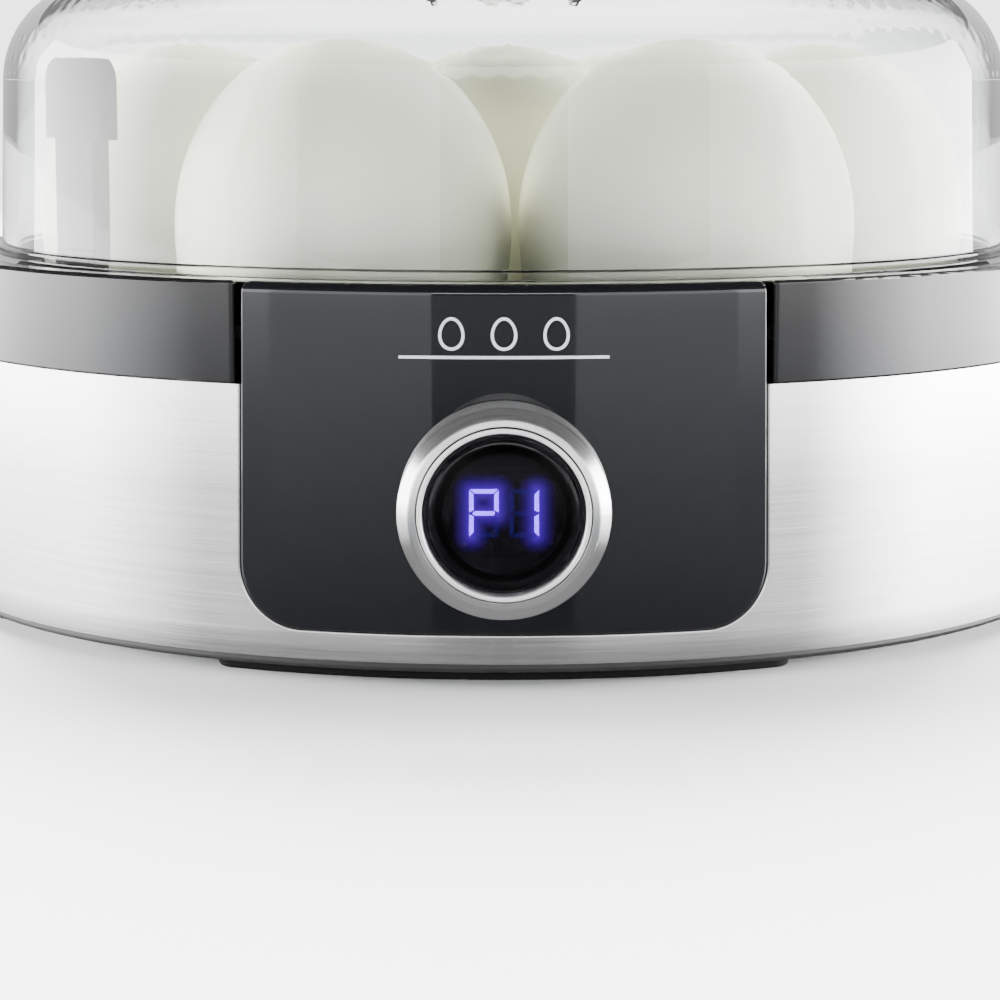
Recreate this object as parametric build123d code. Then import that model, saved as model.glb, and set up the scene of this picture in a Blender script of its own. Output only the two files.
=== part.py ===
from build123d import *
import os
from math import acos, cos, pi, radians, sin, sqrt, tan

os.makedirs("parts", exist_ok=True)

# Egg cooker for seven eggs. Millimetres, +Z up, front towards -Y.
# Every part is drawn about the upright axis of the round base. export() then moves it along Y,
# so that the origin is under the middle of the whole object, knob and cord gland included.

# ---- driving dimensions: base ----
BASE_R = 83.5          # outside of the steel band
STEEL_T = 0.8
STEEL_Z = 2.7          # lower edge of the steel band
COLLAR_Z = 37.8        # lower edge of the black collar
RIM_Z = 51.1           # top of the collar and of the front panel
COLLAR_R = 83.7
COVER_Z = 1.5          # underside of the bottom cover
COVER_R = 83.1
HOUSING_R = 82.6
HOUSING_T = 1.8
SHELF_Z = 45.0         # top of the shelf that carries the bowl
LEDGE_Z = 48.0         # ledge on which carrier and lid rest
RING_R = 80.1          # outside of the rim ring, inside the collar's upper edge
SCREW_R = 1.0
BOTTOM_SCREW_R = 75.0  # distance of the cover's screws from the axis
RIM_SCREW_R = 78.9     # distance of the rim ring's screws from the axis
FOOT_TOP = 2.5
FOOT_R = (74.0, 80.4)  # inner and outer radius of a rubber foot
FOOT_HALF_ANGLE = 26.4

# ---- driving dimensions: front panel ----
PANEL_R = 83.9
PANEL_T = 2.0
PANEL_Z = 6.6
PANEL_HALF_TOP = 33.3
PANEL_HALF_LOW = 33.9
PANEL_CORNER = 8.0
PANEL_LIP = 1.4        # rounding of the top edge
PANEL_EDGE = 0.35      # rounding of the sides and the bottom edge
SEAM = 0.1             # gap between panel and steel
COLLAR_SEAM = 0.9      # gap between panel and collar ends

# ---- driving dimensions: knob, all reaches are measured outwards from the upright axis ----
KNOB_Z = 23.3
KNOB_R = 13.33
KNOB_FACE = 93.3
KNOB_BACK = 84.3
KNOB_CHAMFER = 1.4
TRIM_R = 10.95
TRIM_BORE = 10.16
TRIM_DEPTH = 2.6
LENS_R = 9.7
LENS_FACE = 93.6
LENS_BACK = 91.7
LENS_DOME_R = 90.0
SLEEVE_R = 10.2
SLEEVE_BORE = 9.4
STEM_R = 8.45
STEM_BORE = 7.6
DISPLAY_FACE = 90.8
DISPLAY_BACK = 79.5
BOARD_FACE = 71.5      # front of the control board
BOARD_T = 1.6
BOARD_SCREWS = [(x, z) for x in (-21.0, 21.0) for z in (10.0, 28.0)]
RUN = 0.05             # radial running clearance

# ---- gears between knob and encoder ----
MODULE = 0.5
KNOB_TEETH = 48
ENCODER_TEETH = 12
PRESSURE = radians(20)
ADDENDUM = 0.4
DEDENDUM = 0.6
BACKLASH = 0.1
GEAR_REACH = (77.5, 79.5)
ENCODER_ANGLE = -35.0
ENCODER_SHAFT_R = 1.0

# ---- digits ----
DIGIT_H = 6.0
DIGIT_W = 3.63
DIGIT_PITCH = 4.96
STROKE = 0.55
STROKE_GAP = 0.12
STROKE_T = 0.05
FILM_T = 0.1

# ---- power electronics ----
POWER_Z = 6.5          # underside of the power board
POWER_Y = (36.0, 60.0)
POWER_WIDTH = 68.0
POWER_TOP = POWER_Z + BOARD_T
POWER_SCREWS = [(x, y) for x in (-31.0, 31.0) for y in (40.0, 56.0)]
TERMINAL_Y = 68.5
WIRE_Z = 9.6

# ---- bowl, carrier, eggs ----
BOWL_T = 0.8
BOWL_FLOOR = 18.5
BOWL_R = 73.2
ELEMENT_R = 30.0
THERMOSTAT_R = 11.5
FUSE_Y = -22.5
EGG_R = 23.0
EGG_RING = 47.0
EGG_EQUATOR = 56.3
EGG_DOWN = 33.0
EGG_UP = 26.0
EGG_TURN = 2.2         # the ring of eggs is turned a little about the axis
ROUND = 0.5523         # reach of a cubic curve's handles along a quarter of an ellipse
CARRIER_R = 72.3
CARRIER_FLOOR = 39.0
CARRIER_T = 2.0
EGG_HOLE_R = 19.75
HANDLE_REACH = 68.6
HANDLE_T = 2.4
HANDLE_ANGLE = 30 + EGG_TURN

# ---- lid ----
LID_FOOT_R = 77.0
LID_R = 75.2
LID_TOP_R = 73.6
LID_T = 2.0
LID_TOP = 98.0
DOME_R = 260.0
SHOULDER_R = 15.0
LID_KNOB_Z = 98.4

# ---- cord gland ----
GLAND_Z = 13.0
GLAND_R = 5.5
GLAND_BORE = 3.2
GLAND_BACK = 88.5

AXIS_Y = (LENS_FACE - GLAND_BACK) / 2


# ---- small helpers ----

def export(name, *solids):
    """Write one node: every solid stays a separate solid."""
    placed = [Pos(0, AXIS_Y, 0) * piece for shape in solids for piece in shape.solids()]
    export_step(Compound(children=placed) if len(placed) > 1 else placed[0], f"parts/{name}.step")


def outline(*corners):
    """Closed face in the XZ plane. A corner is (x, z), or (x, z, rounding radius)."""
    face = make_face(Plane.XZ * Polyline(*[corner[:2] for corner in corners], close=True))
    for corner in corners:
        if len(corner) == 3:
            spot = Vector(corner[0], 0, corner[1])
            vertices = [v for v in face.vertices() if (Vector(v) - spot).length < 0.001]
            face = fillet(vertices, corner[2])
    return face


def turned(*corners):
    """Solid of revolution about the upright axis, from (radius, height) corners."""
    return revolve(outline(*corners), Axis.Z, 360)


def disc(radius, low, high, x=0.0, y=0.0):
    return Pos(x, y, (low + high) / 2) * Cylinder(radius, high - low)


def ring(outer, inner, low, high, x=0.0, y=0.0):
    return disc(outer, low, high, x, y) - disc(inner, low - 1, high + 1, x, y)


def block(width, depth, low, high, x=0.0, y=0.0, edge=0.0):
    """Upright box between two heights, with rounded upright edges."""
    solid = Pos(x, y, (low + high) / 2) * Box(width, depth, high - low)
    return fillet(solid.edges().filter_by(Axis.Z), edge) if edge else solid


def forwards(shape, x, z):
    """Turn a shape drawn about +Z so that it looks forwards, with its axis at x and height z."""
    return Pos(x, 0, z) * Rot(90, 0, 0) * shape


def facing(shape):
    """The same, on the knob's axis."""
    return forwards(shape, 0, KNOB_Z)


def highest_circle(solid):
    """The highest edge that is a full circle."""
    return solid.edges().filter_by(lambda edge: edge.is_closed).sort_by(Axis.Z)[-1]


def around(count, shape, start=0.0):
    """The same shape repeated about the upright axis."""
    return [Rot(0, 0, start + 360 / count * i) * shape for i in range(count)]


def polar(radius, angle):
    return radius * cos(radians(angle)), radius * sin(radians(angle))


def joined(solids):
    whole = solids[0]
    for solid in solids[1:]:
        whole = whole + solid
    return whole


def panel_prism(grow):
    """Space in front of the axis inside the panel's outline, grown on every side."""
    low = PANEL_Z - grow
    corners = (
        (-PANEL_HALF_LOW - grow, low, PANEL_CORNER + grow),
        (PANEL_HALF_LOW + grow, low, PANEL_CORNER + grow),
        (PANEL_HALF_TOP + grow, RIM_Z + 10),
        (-PANEL_HALF_TOP - grow, RIM_Z + 10),
    )
    return extrude(outline(*corners), BASE_R + 20)


# ---- base, outside ----

def steel_band():
    band = ring(BASE_R, BASE_R - STEEL_T, STEEL_Z, COLLAR_Z) - panel_prism(SEAM)
    band -= Pos(0, BASE_R, GLAND_Z) * Rot(90, 0, 0) * Cylinder(GLAND_R + 0.1, 10)
    # the cut edge beside the panel is rolled inwards
    rolled = [e for e in band.edges() if e.center().Y < 0 and on_cut_edge(e)]
    return fillet(rolled, STEEL_T * 0.4)


def on_cut_edge(edge):
    """True for the outer edges of the steel band that border the panel."""
    ends = [Vector(edge @ t) for t in (0, 0.5, 1)]
    on_outside = all(abs(sqrt(p.X ** 2 + p.Y ** 2) - BASE_R) < 0.01 for p in ends)
    beside = all(abs(p.X) < PANEL_HALF_LOW + SEAM + 0.1 and p.Z > STEEL_Z + 1 for p in ends)
    return on_outside and beside


def upper_collar():
    """C-shaped cap over the rim, open at the front for the panel."""
    half = PANEL_HALF_TOP + COLLAR_SEAM + 0.15
    cap = ring(COLLAR_R, RING_R + 0.2, COLLAR_Z, RIM_Z) - Pos(0, -BASE_R, RIM_Z) * Box(2 * half, 60, 60)
    ends = cap.edges().filter_by(Axis.Z).filter_by(lambda e: e.center().Y < 0)
    cap = fillet(ends.filter_by(lambda e: edge_reach(e) > COLLAR_R - 0.1), 0.6)
    cap = fillet(cap.edges().filter_by(lambda e: e.center().Z > RIM_Z - 0.01), 0.5)
    cap = fillet(cap.edges().filter_by(lambda e: e.center().Z < COLLAR_Z + 0.01), 0.3)
    return cap - ring(COLLAR_R - 1.1, 70, COLLAR_Z - 1, RIM_Z - 2)


def edge_reach(edge):
    """Distance of an upright edge from the upright axis."""
    return sqrt(edge.center().X ** 2 + edge.center().Y ** 2)


def front_panel():
    """Glossy shell with a rounded top lip, a boss behind the knob and four posts for the board."""
    inner = PANEL_R - PANEL_T
    shell = turned(
        (inner, PANEL_Z - 1), (PANEL_R, PANEL_Z - 1), (PANEL_R, RIM_Z), (80.4, RIM_Z),
        (80.4, RIM_Z - 1.8), (inner, RIM_Z - 1.8),
    )
    panel = shell & panel_prism(0)
    panel = fillet([e for e in face_edges(panel) if e.center().Z < RIM_Z - 0.01], PANEL_EDGE)
    panel = fillet([e for e in face_edges(panel) if e.center().Z > RIM_Z - 0.01], PANEL_LIP)
    behind = disc(inner + 0.5, 0, RIM_Z)
    panel += facing(disc(14.0, 80.4, inner + 0.6))
    for x, z in BOARD_SCREWS:
        panel += forwards(disc(2.6, BOARD_FACE, PANEL_R), x, z) & behind
    panel -= facing(disc(SLEEVE_R + 0.3, 70, 100))
    for x, z in BOARD_SCREWS:
        panel -= forwards(disc(SCREW_R + RUN, BOARD_FACE - 0.1, BOARD_FACE + 6.1), x, z)
    return panel


def face_edges(panel):
    """Edges that lie wholly on the panel's outer cylinder."""
    def on_face(edge):
        points = [edge @ t for t in (0, 0.3, 0.5, 1)]
        return all(abs(sqrt(p.X ** 2 + p.Y ** 2) - PANEL_R) < 0.01 for p in points)
    return [edge for edge in panel.edges() if on_face(edge)]


def bottom_cover():
    cover = turned(
        (0, COVER_Z), (COVER_R, COVER_Z, 0.6), (COVER_R, STEEL_Z - 0.05), (80.7, STEEL_Z - 0.05),
        (80.7, 3.5), (80.6, 3.5), (80.6, 6.0), (79.0, 6.0), (79.0, 3.5), (0, 3.5),
    )
    for boss in around(4, disc(4.3, 3.0, 6.0, BOTTOM_SCREW_R), 45):
        cover += boss & disc(80.6, 0, 20)
    for hole in around(4, disc(SCREW_R + 0.3, 0, 10, BOTTOM_SCREW_R), 45):
        cover -= hole
    for recess in around(4, disc(3.1, 0, 4.4, BOTTOM_SCREW_R), 45):
        cover -= recess
    for pocket in around(4, foot(COVER_Z - 1, FOOT_TOP), 0):
        cover -= pocket
    for i in range(-3, 4):
        cover -= block(3, 34 - 3 * abs(i), 0, 5, 9 * i, 0, 1.4)
    return cover


def foot(low, high):
    """Rubber arc with rounded ends, centred on +X."""
    middle = sum(FOOT_R) / 2
    width = FOOT_R[1] - FOOT_R[0]
    arc = ring(FOOT_R[1], FOOT_R[0], low, high)
    wedge = Polyline(
        (0, 0), polar(120, -FOOT_HALF_ANGLE), (140, 0), polar(120, FOOT_HALF_ANGLE), close=True
    )
    arc = arc & Pos(0, 0, low) * extrude(make_face(wedge), high - low)
    for angle in (-FOOT_HALF_ANGLE, FOOT_HALF_ANGLE):
        arc += disc(width / 2, low, high, *polar(middle, angle))
    return arc


def rubber_feet():
    one = foot(0, FOOT_TOP)
    sole = [e for e in one.edges() if abs(e.center().Z) < 0.01]
    return around(4, fillet(sole, 0.5), 0)


def cord_gland():
    gland = turned(
        (GLAND_BORE, 77.8), (6.9, 77.8), (6.9, 80.3), (GLAND_R, 80.3), (GLAND_R, BASE_R + 0.1),
        (7.2, BASE_R + 0.1, 0.4), (6.4, GLAND_BACK, 1.2), (GLAND_BORE, GLAND_BACK, 0.6),
    )
    return Pos(0, 0, GLAND_Z) * Rot(-90, 0, 0) * gland


# ---- base, structure ----

def base_housing():
    inner = HOUSING_R - HOUSING_T
    body = turned(
        (inner, STEEL_Z), (HOUSING_R, STEEL_Z), (HOUSING_R, SHELF_Z), (75.0, SHELF_Z, 0.4),
        (75.0, SHELF_Z - 1.8), (inner, SHELF_Z - 1.8),
    )
    posts = around(4, disc(3.6, 6.0, 20.0, BOTTOM_SCREW_R), 45)
    ribs = around(4, block(8, 2.0, 6.0, 20.0, BOTTOM_SCREW_R + 4.5), 45)
    for piece in posts + ribs:
        body += piece & disc(HOUSING_R, 0, 60)
    for hole in around(4, disc(SCREW_R + RUN, 5, 15, BOTTOM_SCREW_R), 45):
        body -= hole
    for hole in around(4, disc(SCREW_R + 0.2, 40, 50, RIM_SCREW_R), 45):
        body -= hole
    window = panel_prism(2.0) & ring(100, 80.4, 0, 60)
    body -= window
    body -= Pos(0, BASE_R, GLAND_Z) * Rot(90, 0, 0) * Cylinder(GLAND_R + 0.1, 10)
    return body


def rim_ring():
    """Full ring inside the collar: its ledge seats the carrier and the lid."""
    body = turned(
        (73.6, 46.3), (77.7, 46.3), (77.7, SHELF_Z), (RING_R, SHELF_Z), (RING_R, 50.7, 0.4),
        (77.4, 50.7, 0.6), (77.4, LEDGE_Z, 0.3), (73.6, LEDGE_Z, 0.4),
    )
    for hole in around(4, disc(SCREW_R - 0.15 + RUN, 44, 49.2, RIM_SCREW_R), 45):
        body -= hole
    return body


def screw(head_r, head_low, head_high, shank_r, tip, slot=0.7):
    """Upright screw with its head below and a slot across the head."""
    body = disc(head_r, head_low, head_high) + disc(shank_r, head_high, tip)
    return body - block(2 * head_r - 1, slot, head_low - 1, head_low + 0.5)


def rim_screws():
    one = screw(1.8, 41.9, 43.2, SCREW_R - 0.15, 49.0, 0.5)
    return around(4, Pos(RIM_SCREW_R, 0, 0) * one, 45)


def bottom_screws():
    one = screw(2.8, 2.4, 4.4, SCREW_R, 14.0)
    return around(4, Pos(BOTTOM_SCREW_R, 0, 0) * one, 45)


# ---- heating ----

def heating_bowl():
    low = BOWL_FLOOR - BOWL_T
    wide = BOWL_R + BOWL_T
    return turned(
        (0, low), (58.6, low, 4.6), (62.8, 30.2, 2.2), (wide, 35.2, 2.8), (wide, SHELF_Z),
        (77.5, SHELF_Z), (77.5, SHELF_Z + BOWL_T), (BOWL_R, SHELF_Z + BOWL_T, 0.5),
        (BOWL_R, 35.7, 2.0), (62.1, 30.8, 3.0), (58.0, BOWL_FLOOR, 3.8), (0, BOWL_FLOOR),
    )


def bowl_gasket():
    return ring(77.3, 74.4, SHELF_Z + BOWL_T, 46.3)


def heating_element():
    """Ring of tube under the bowl, open at the back, with two pins that turn down."""
    tube_r = 3.0
    height = BOWL_FLOOR - BOWL_T - tube_r
    start = Plane(origin=(ELEMENT_R, 0, height), x_dir=(1, 0, 0), z_dir=(0, 1, 0))
    loop = revolve(start * Circle(tube_r), Axis.Z, 320)
    loop = Rot(0, 0, 110) * loop
    pins = [Rot(0, 0, angle) * disc(1.2, 8.5, height, ELEMENT_R) for angle in (113, 67)]
    return joined([loop] + pins)


def thermostat():
    top = BOWL_FLOOR - BOWL_T
    return turned(
        (0, 9.5), (6.0, 9.5), (6.0, 11.5), (THERMOSTAT_R, 11.5, 0.6), (THERMOSTAT_R, top), (0, top),
    )


def thermostat_clip():
    """Spring bridge that presses the thermostat against the bowl."""
    top = BOWL_FLOOR - BOWL_T
    sheet = 0.8
    bridge = block(36, 15, 10.1, 10.1 + sheet) - disc(6.3, 9, 12)
    for side in (-1, 1):
        bridge += block(sheet, 8, 10.1, top, side * 17.6)
        bridge += block(5, 8, top - sheet, top, side * 19.7)
    return bridge


def thermal_fuse():
    """Small capsule with a lead at each end."""
    fuse = Cylinder(2.0, 11) + Cylinder(0.5, 20)
    return Pos(0, FUSE_Y, 15.4) * Rot(0, 90, 0) * fuse


def heat_shield():
    """Thin sheet between the bowl and the control board."""
    shield = ring(66.0, 65.4, 6.5, 29.0)
    front = Polyline((0, 0), polar(90, -118), (0, -110), polar(90, -62), close=True)
    return shield & extrude(make_face(front), 60)


# ---- power electronics ----

def power_board():
    depth = POWER_Y[1] - POWER_Y[0]
    board = block(POWER_WIDTH, depth, POWER_Z, POWER_TOP, 0, sum(POWER_Y) / 2, 2.0)
    for x, y in POWER_SCREWS:
        board -= disc(1.2, 0, 20, x, y)
    return board


def power_standoffs():
    """Threaded spacers between bottom cover and power board."""
    return [ring(2.4, 0.8, 3.5, POWER_Z, x, y) for x, y in POWER_SCREWS]


def power_board_screws():
    one = disc(2.0, POWER_TOP, POWER_TOP + 1.2) + disc(0.75, 4.5, POWER_TOP)
    return [Pos(x, y, 0) * one for x, y in POWER_SCREWS]


def relay():
    return block(19, 10, POWER_TOP, 16.6, -17, 52, 0.8)


def capacitor():
    return [block(13, 6, POWER_TOP, 16.0, 8, 54, 1.2), disc(3.2, POWER_TOP, 16.4, 21, 54)]


def transformer():
    """Ferrite frame round a wound bobbin."""
    core = block(14, 10, 9.1, 16.5, 0, 0, 0.6) - block(9, 20, 10.6, 15.0)
    bobbin = block(8.4, 12, POWER_TOP, 14.8, 0, 0, 1.0)
    return [Pos(19, 43, 0) * piece for piece in (core - bobbin, bobbin)]


def buzzer():
    return Pos(-20, 41, 0) * (disc(4.6, POWER_TOP, 13.0) - disc(1.0, 11.5, 14))


def terminal_block():
    """Three-way block: a screw well above each wire hole."""
    body = block(21, 8, 3.5, 13.5, 0, TERMINAL_Y, 0.6)
    for x in (-6.5, 0, 6.5):
        body -= disc(1.6, 10, 14, x, TERMINAL_Y)
        body -= forwards(disc(1.4, -80, -60), x, 7.5)
    return body


def wire(radius, bend, *points):
    """Insulated wire along straight runs with tangent bends."""
    path = FilletPolyline(*points, radius=bend)
    start = Plane(origin=path @ 0, z_dir=path % 0)
    return sweep(start * Circle(radius), path=path)


def mains_wires():
    """Two leads from the terminal block to the power board and two on to the heating element."""
    z = WIRE_Z
    bend = 2.5
    supply = [wire(0.9, bend, (x, 64.4, z), (x, 61.0, z), (x - 5, 57.5, z), (x - 5, 54.0, z))
              for x in (3.0, 0.0)]
    heater = [wire(0.9, bend, (x, 28.9, z), (x, 33.0, z), (x * 0.855, 37.0, z)) for x in (-11.7, 11.7)]
    return supply + heater


# ---- control ----

def control_board():
    board = Pos(0, -BOARD_FACE + BOARD_T / 2, 19.0) * Box(52, BOARD_T, 25)
    board = fillet(board.edges().filter_by(Axis.Y), 2.5)
    for x, z in BOARD_SCREWS:
        board -= forwards(disc(SCREW_R + 0.2, 60, 80), x, z)
    return board


def control_board_screws():
    back = BOARD_FACE - BOARD_T
    one = disc(2.0, back - 1.3, back) + disc(SCREW_R, back, back + 7.0)
    return [forwards(one, x, z) for x, z in BOARD_SCREWS]


def knob_ring():
    """Brushed ring with a bright chamfer, bored for the sleeve and recessed for the trim ring."""
    seat = KNOB_FACE - TRIM_DEPTH
    return facing(turned(
        (SLEEVE_R + RUN, KNOB_BACK), (KNOB_R, KNOB_BACK, 0.3),
        (KNOB_R, KNOB_FACE - KNOB_CHAMFER, 0.5), (KNOB_R - KNOB_CHAMFER, KNOB_FACE, 0.5),
        (TRIM_R + RUN, KNOB_FACE, 0.06), (TRIM_R + RUN, seat), (SLEEVE_R + RUN, seat),
    ))


def knob_trim_ring():
    low, high = KNOB_FACE - TRIM_DEPTH, KNOB_FACE + 0.1
    return facing(turned((TRIM_BORE, low), (TRIM_R, low), (TRIM_R, high, 0.3), (TRIM_BORE, high, 0.3)))


def gear_outline(teeth, turn):
    """Involute stub teeth about the origin; turn is the angle of one tooth's middle."""
    pitch = MODULE * teeth / 2
    base = pitch * cos(PRESSURE)
    tip = pitch + ADDENDUM
    root = pitch - DEDENDUM

    def involute(angle):
        return tan(angle) - angle

    def half_angle(radius):
        at_pitch = (pi * MODULE / 2 - BACKLASH) / (2 * pitch)
        rise = involute(acos(min(1.0, base / max(radius, base))))
        return at_pitch + involute(PRESSURE) - rise

    start = max(root, base)
    radii = [root] if root < base else []
    radii += [start + (tip - start) * step / 4 for step in range(5)]
    points = []
    for tooth in range(teeth):
        middle = radians(turn) + 2 * pi * tooth / teeth
        points += [(r * cos(middle - half_angle(r)), r * sin(middle - half_angle(r))) for r in radii]
        points += [(r * cos(middle + half_angle(r)), r * sin(middle + half_angle(r)))
                   for r in reversed(radii)]
    return make_face(Polyline(*points, close=True))


def gear(teeth, turn):
    thick = GEAR_REACH[1] - GEAR_REACH[0]
    return Pos(0, 0, GEAR_REACH[0]) * extrude(gear_outline(teeth, turn), thick)


def knob_sleeve():
    """Tube that carries the knob ring through the panel, with a gear at its inner end."""
    tube = disc(SLEEVE_R, GEAR_REACH[0], LENS_BACK - 1.1)
    body = gear(KNOB_TEETH, ENCODER_ANGLE) + tube
    return facing(body - disc(SLEEVE_BORE, 70, 100))


def encoder_spot():
    return polar(MODULE * (KNOB_TEETH + ENCODER_TEETH) / 2, ENCODER_ANGLE)


def encoder_pinion():
    half_tooth = 180 / ENCODER_TEETH
    body = gear(ENCODER_TEETH, ENCODER_ANGLE + 180 + half_tooth)
    body += disc(ENCODER_SHAFT_R, BOARD_FACE + 1.0, GEAR_REACH[1] + 0.5)
    return facing(Pos(*encoder_spot(), 0) * body)


def encoder_body():
    body = block(7, 7, BOARD_FACE, GEAR_REACH[0] - 0.8, 0, 0, 0.8)
    body += disc(2.4, GEAR_REACH[0] - 0.8, GEAR_REACH[0] - 0.3)
    body -= disc(ENCODER_SHAFT_R + RUN, BOARD_FACE + 0.8, 90)
    return facing(Pos(*encoder_spot(), 0) * body)


def display_mount():
    """Fixed tube inside the knob: the sleeve turns on it and the button slides in it."""
    tube = ring(SLEEVE_BORE - RUN, STEM_R + RUN, BOARD_FACE, LENS_BACK - 1.5)
    flange = ring(9.9, STEM_R + RUN, BOARD_FACE, BOARD_FACE + 1.8)
    return facing(tube + flange)


def button_lens():
    """Smoked window with a slightly domed face and a soft edge."""
    blank = disc(LENS_R, LENS_BACK, LENS_FACE + 1)
    dome = Pos(0, 0, LENS_FACE - LENS_DOME_R) * Rot(90, 0, 0) * Sphere(LENS_DOME_R)
    lens = blank & dome
    return facing(fillet(highest_circle(lens), 0.9))


def button_carrier():
    """Tube behind the lens with a flange that presses the switches."""
    tube = ring(STEM_R, STEM_BORE, 76.0, LENS_BACK)
    return facing(tube + ring(STEM_BORE + 0.3, 5.0, 76.0, 76.8))


def display_module():
    """Digit block on a short foot that stands on the control board."""
    body = block(11.8, 8.2, DISPLAY_BACK, DISPLAY_FACE, 0, 0, 0.3)
    return facing(body + block(6, 4, BOARD_FACE, DISPLAY_BACK))


def tact_switches():
    """Two small switches; the button's flange stops just in front of their plungers."""
    top = BOARD_FACE + 2.7
    one = block(3.6, 3.6, BOARD_FACE, top, 0, 0, 0.3) + disc(1.0, top, top + 1.15)
    return [facing(Pos(x, 0, 0) * one) for x in (-6.0, 6.0)]


def stroke(*points):
    """One thin segment of a digit, drawn about the knob's axis."""
    face = make_face(Polyline(*points, close=True))
    return facing(Pos(0, 0, DISPLAY_FACE) * extrude(face, STROKE_T))


def digit(middle):
    """The seven segments of one digit by their usual letters, mitred where they meet."""
    x, y = DIGIT_W / 2, DIGIT_H / 2
    corner = STROKE + STROKE_GAP
    half = STROKE / 2

    def level(side):
        """Top or bottom bar, longer on its outer side."""
        bar = (
            (STROKE_GAP - x, y),
            (x - STROKE_GAP, y),
            (x - corner, y - STROKE),
            (corner - x, y - STROKE),
        )
        return stroke(*[(middle + u, side * v) for u, v in bar])

    def upright(side, row):
        """Bar beside the upper or lower half, longer on its outer side."""
        bar = (
            (x, y - STROKE_GAP),
            (x, STROKE_GAP),
            (x - STROKE, half + STROKE_GAP),
            (x - STROKE, y - corner),
        )
        return stroke(*[(middle + side * u, row * v) for u, v in bar])

    inner = x - half - STROKE_GAP
    return {
        "a": level(1), "b": upright(1, 1), "c": upright(1, -1), "d": level(-1),
        "e": upright(-1, -1), "f": upright(-1, 1),
        "g": stroke(*[(middle + u, v) for u, v in (
            (-inner, 0), (half - inner, half), (inner - half, half),
            (inner, 0), (inner - half, -half), (half - inner, -half))]),
    }


def digits():
    """Lit segments show P1; the others stay dark."""
    lit, dark = [], []
    for middle, shown in ((-DIGIT_PITCH / 2, "abefg"), (DIGIT_PITCH / 2, "bc")):
        for name, solid in digit(middle).items():
            (lit if name in shown else dark).append(solid)
    return lit, dark


def display_film():
    """Diffuser film on the digits; the button's tube slides round it."""
    low = DISPLAY_FACE + STROKE_T
    return facing(disc(STEM_BORE - 0.3, low, low + FILM_T))


def ribbon_cable():
    """Flat cable from the control board, under the shield, to the power board."""
    path = FilletPolyline((0, -69.8, 10.5), (0, -67.8, 10.5), (0, -67.8, 4.4), (0, 30.5, 4.4),
                          (0, 34.5, 8.5), (0, 38.0, 8.5), radius=0.9)
    start = Plane(origin=path @ 0, x_dir=(1, 0, 0), z_dir=path % 0)
    return sweep(start * Rectangle(12.0, 0.6), path=path)


# ---- carrier and eggs ----

def egg_spots():
    ring_spots = [polar(EGG_RING, 60 * i + EGG_TURN) for i in range(6)]
    return [(0.0, 0.0)] + ring_spots


def egg():
    """Pointed end down, blunt end up."""
    upper, lower = (
        Bezier((EGG_R, 0), (EGG_R, ROUND * tip), (ROUND * EGG_R, tip), (0, tip))
        for tip in (EGG_UP, -EGG_DOWN)
    )
    spine = Line((0, EGG_UP), (0, -EGG_DOWN))
    return Pos(0, 0, EGG_EQUATOR) * revolve(make_face(Plane.XZ * (upper + lower + spine)), Axis.Z, 360)


def eggs():
    return [Pos(x, y, 0) * egg() for x, y in egg_spots()]


def egg_carrier():
    low = CARRIER_FLOOR - CARRIER_T
    wall = CARRIER_R - 1.0
    tray = turned(
        (0, low), (CARRIER_R, low, 1.2), (CARRIER_R, LEDGE_Z), (75.2, LEDGE_Z),
        (75.2, LEDGE_Z + 0.9, 0.3), (wall, LEDGE_Z + 0.9, 0.4), (wall, CARRIER_FLOOR, 0.8),
        (0, CARRIER_FLOOR),
    )
    for x, y in egg_spots():
        tray -= disc(EGG_HOLE_R, low - 1, CARRIER_FLOOR + 1, x, y)
    for angle in range(0, 360, 60):
        tray -= disc(2.2, low - 1, CARRIER_FLOOR + 1, *polar(63.5, angle + 30 + EGG_TURN))
        tray -= disc(1.6, low - 1, CARRIER_FLOOR + 1, *polar(27.0, angle + 30 + EGG_TURN))
    slot = block(HANDLE_T + 0.2, 12.2, low - 1, CARRIER_FLOOR + 1, HANDLE_REACH)
    for hole in around(2, slot, HANDLE_ANGLE):
        tray -= hole
    return tray


def carrier_handles():
    """Two upright tabs with a wider grip, clipped through the tray."""
    tab = block(HANDLE_T, 12, CARRIER_FLOOR - CARRIER_T - 0.4, 70.0, HANDLE_REACH)
    tab += block(HANDLE_T, 18, 68.0, 79.0, HANDLE_REACH)
    tab = fillet(tab.edges().filter_by(Axis.X).filter_by(lambda e: e.center().Z > 75), 3.5)
    tab += block(HANDLE_T, 15, CARRIER_FLOOR, CARRIER_FLOOR + 1.5, HANDLE_REACH)
    for z in (71.0, 73.5, 76.0):
        tab += Pos(HANDLE_REACH - HANDLE_T / 2, 0, z) * Box(0.8, 12, 1.0)
    return around(2, tab, HANDLE_ANGLE)


# ---- lid ----

def lid_solid(inset):
    """Tapered drum closed by a shallow dome with a rounded shoulder."""
    drum = turned((0, LEDGE_Z), (LID_R - inset, LEDGE_Z), (LID_TOP_R - inset, 110.0), (0, 110.0))
    dome = Pos(0, 0, LID_TOP - DOME_R) * Sphere(DOME_R - inset)
    body = drum & dome
    return fillet(highest_circle(body), SHOULDER_R - inset)


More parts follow.
